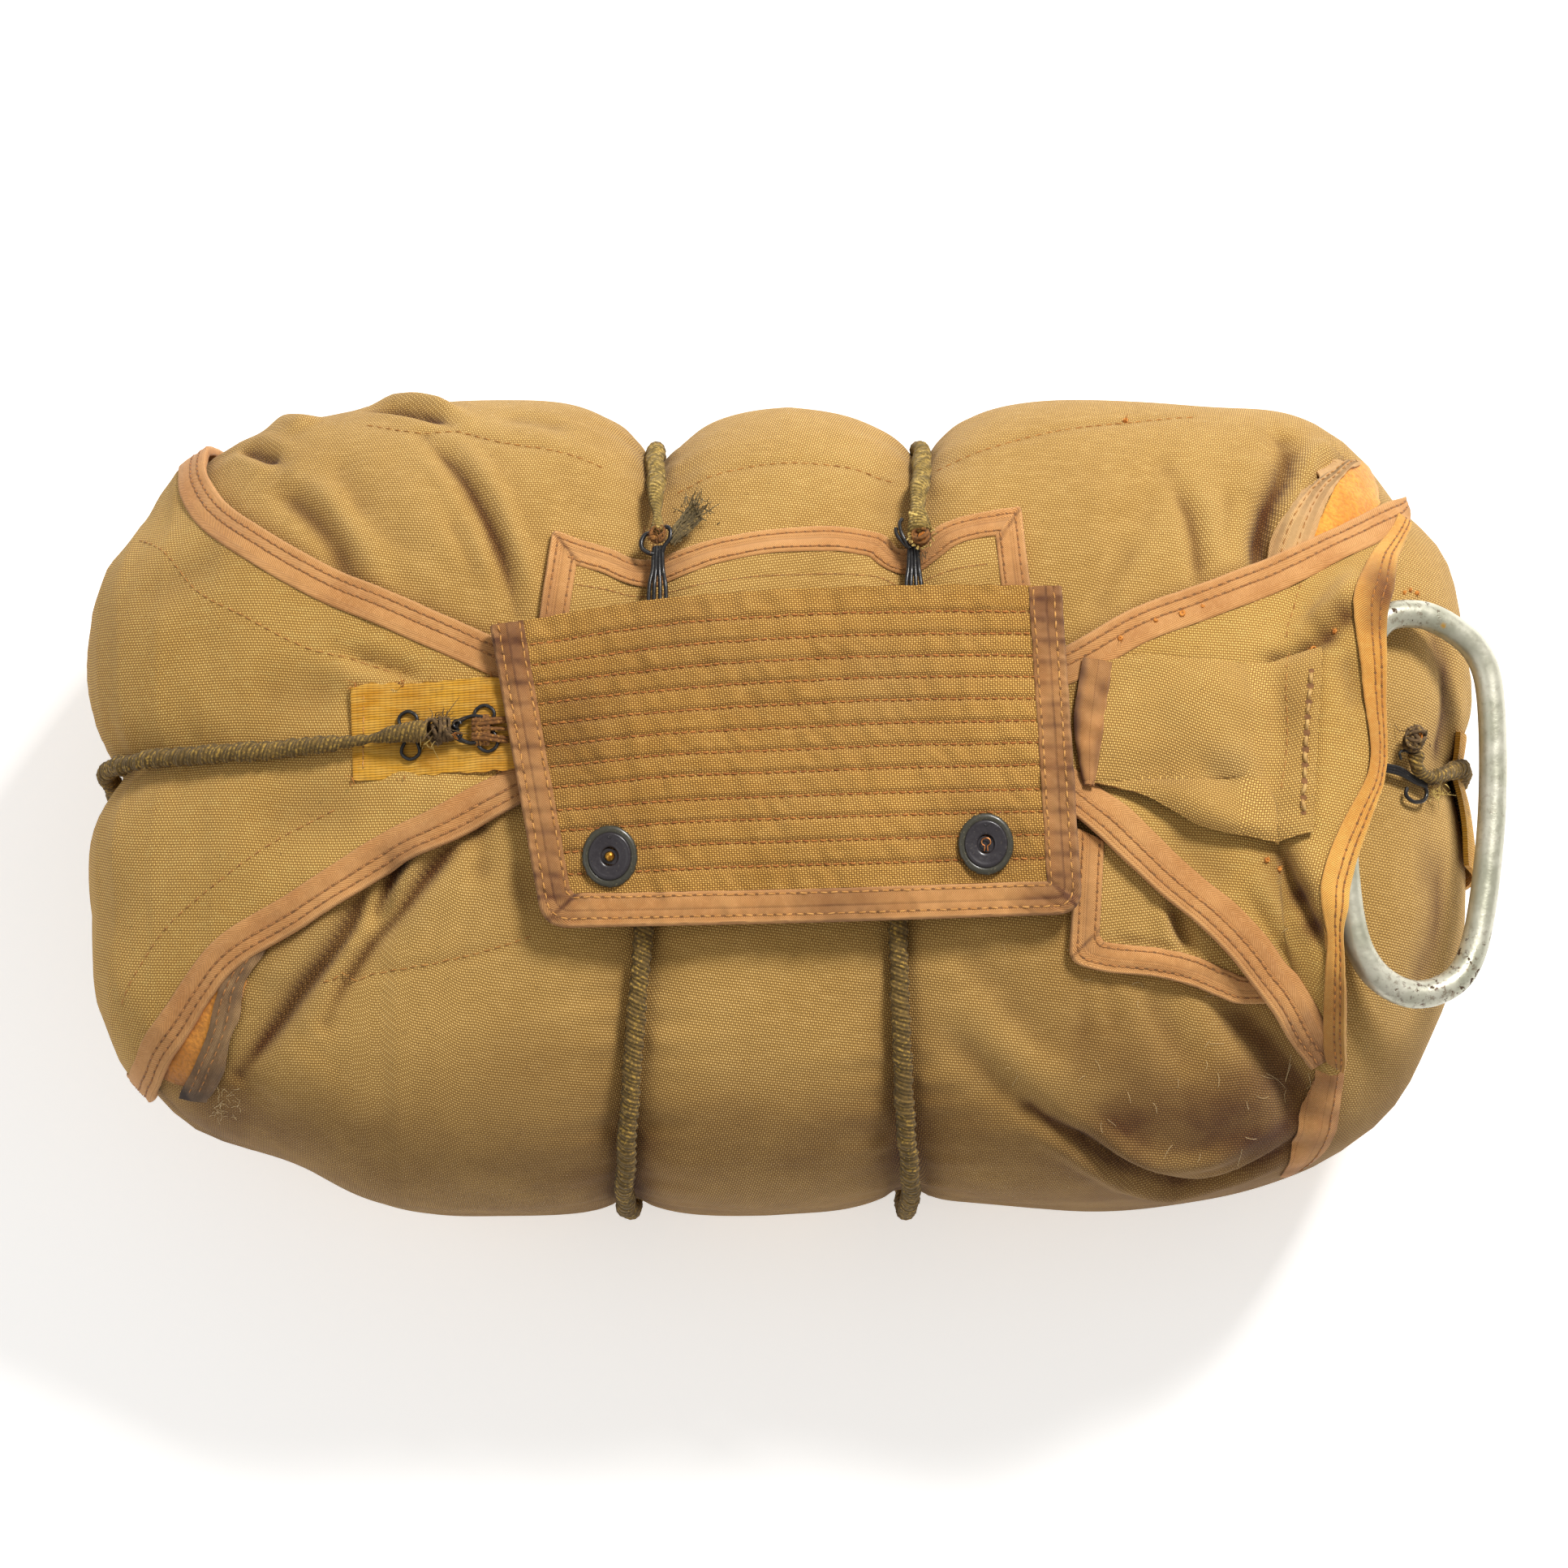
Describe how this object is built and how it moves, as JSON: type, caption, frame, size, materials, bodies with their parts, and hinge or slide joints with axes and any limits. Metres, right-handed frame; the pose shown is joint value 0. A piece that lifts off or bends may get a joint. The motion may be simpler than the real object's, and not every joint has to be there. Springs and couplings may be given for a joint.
{
  "type": "packed chest parachute",
  "caption": "Packed chest parachute lying on its back: padded canvas pack drawn in by elastic opening bands, with end flaps, a quilted protector flap and a ripcord handle.",
  "frame": {"origin": "on the flat back of the pack, midway along and across it", "axes": "+X along the pack towards the ripcord handle, +Y across it, +Z out of its face"},
  "size_m": [0.414, 0.2416, 0.1622],
  "materials": {
    "canvas": "khaki cotton duck, worn",
    "pocket_canvas": "khaki cotton duck, worn",
    "quilted_canvas": "quilted mustard canvas",
    "twill_tape": "tan twill tape",
    "orange_twill": "orange twill tape",
    "mustard_webbing": "mustard cotton webbing",
    "elastic_band": "braided cover over elastic cord",
    "black_lacquer": "black lacquered wire and pressings, chipped",
    "brass": "worn brass",
    "silver_paint": "silver paint over steel, chipped"
  },
  "bodies": {
    "root": {"pack_body": "canvas", "left_end_flap": "canvas", "right_end_flap": "canvas", "upper_tab": "canvas", "lower_tab": "canvas", "ripcord_pocket": "pocket_canvas", "protector_flap": "quilted_canvas", "left_flap_upper_binding": "twill_tape", "left_flap_lower_binding": "twill_tape", "right_flap_upper_binding": "twill_tape", "right_flap_lower_binding": "twill_tape", "pocket_binding": "twill_tape", "upper_tab_binding": "twill_tape", "lower_tab_binding": "twill_tape", "protector_binding": "twill_tape", "left_corner_tape": "twill_tape", "right_corner_tape": "twill_tape", "lower_binding_tail": "twill_tape", "right_flap_end_binding": "orange_twill", "left_corner_lining": "orange_twill", "right_corner_lining": "orange_twill", "hook_tab": "mustard_webbing", "end_webbing": "mustard_webbing", "cross_band_left": "elastic_band", "cross_band_right": "elastic_band", "end_band": "elastic_band", "frayed_band_tail": "elastic_band", "snap_socket_left": "black_lacquer", "snap_socket_right": "black_lacquer", "hook_eye_outer": "black_lacquer", "hook_eye_inner": "black_lacquer", "left_end_hook": "black_lacquer", "cross_hook_left": "black_lacquer", "cross_hook_right": "black_lacquer", "right_end_hook": "black_lacquer", "snap_stud": "brass", "ripcord_handle": "silver_paint"}
  },
  "joints": []
}
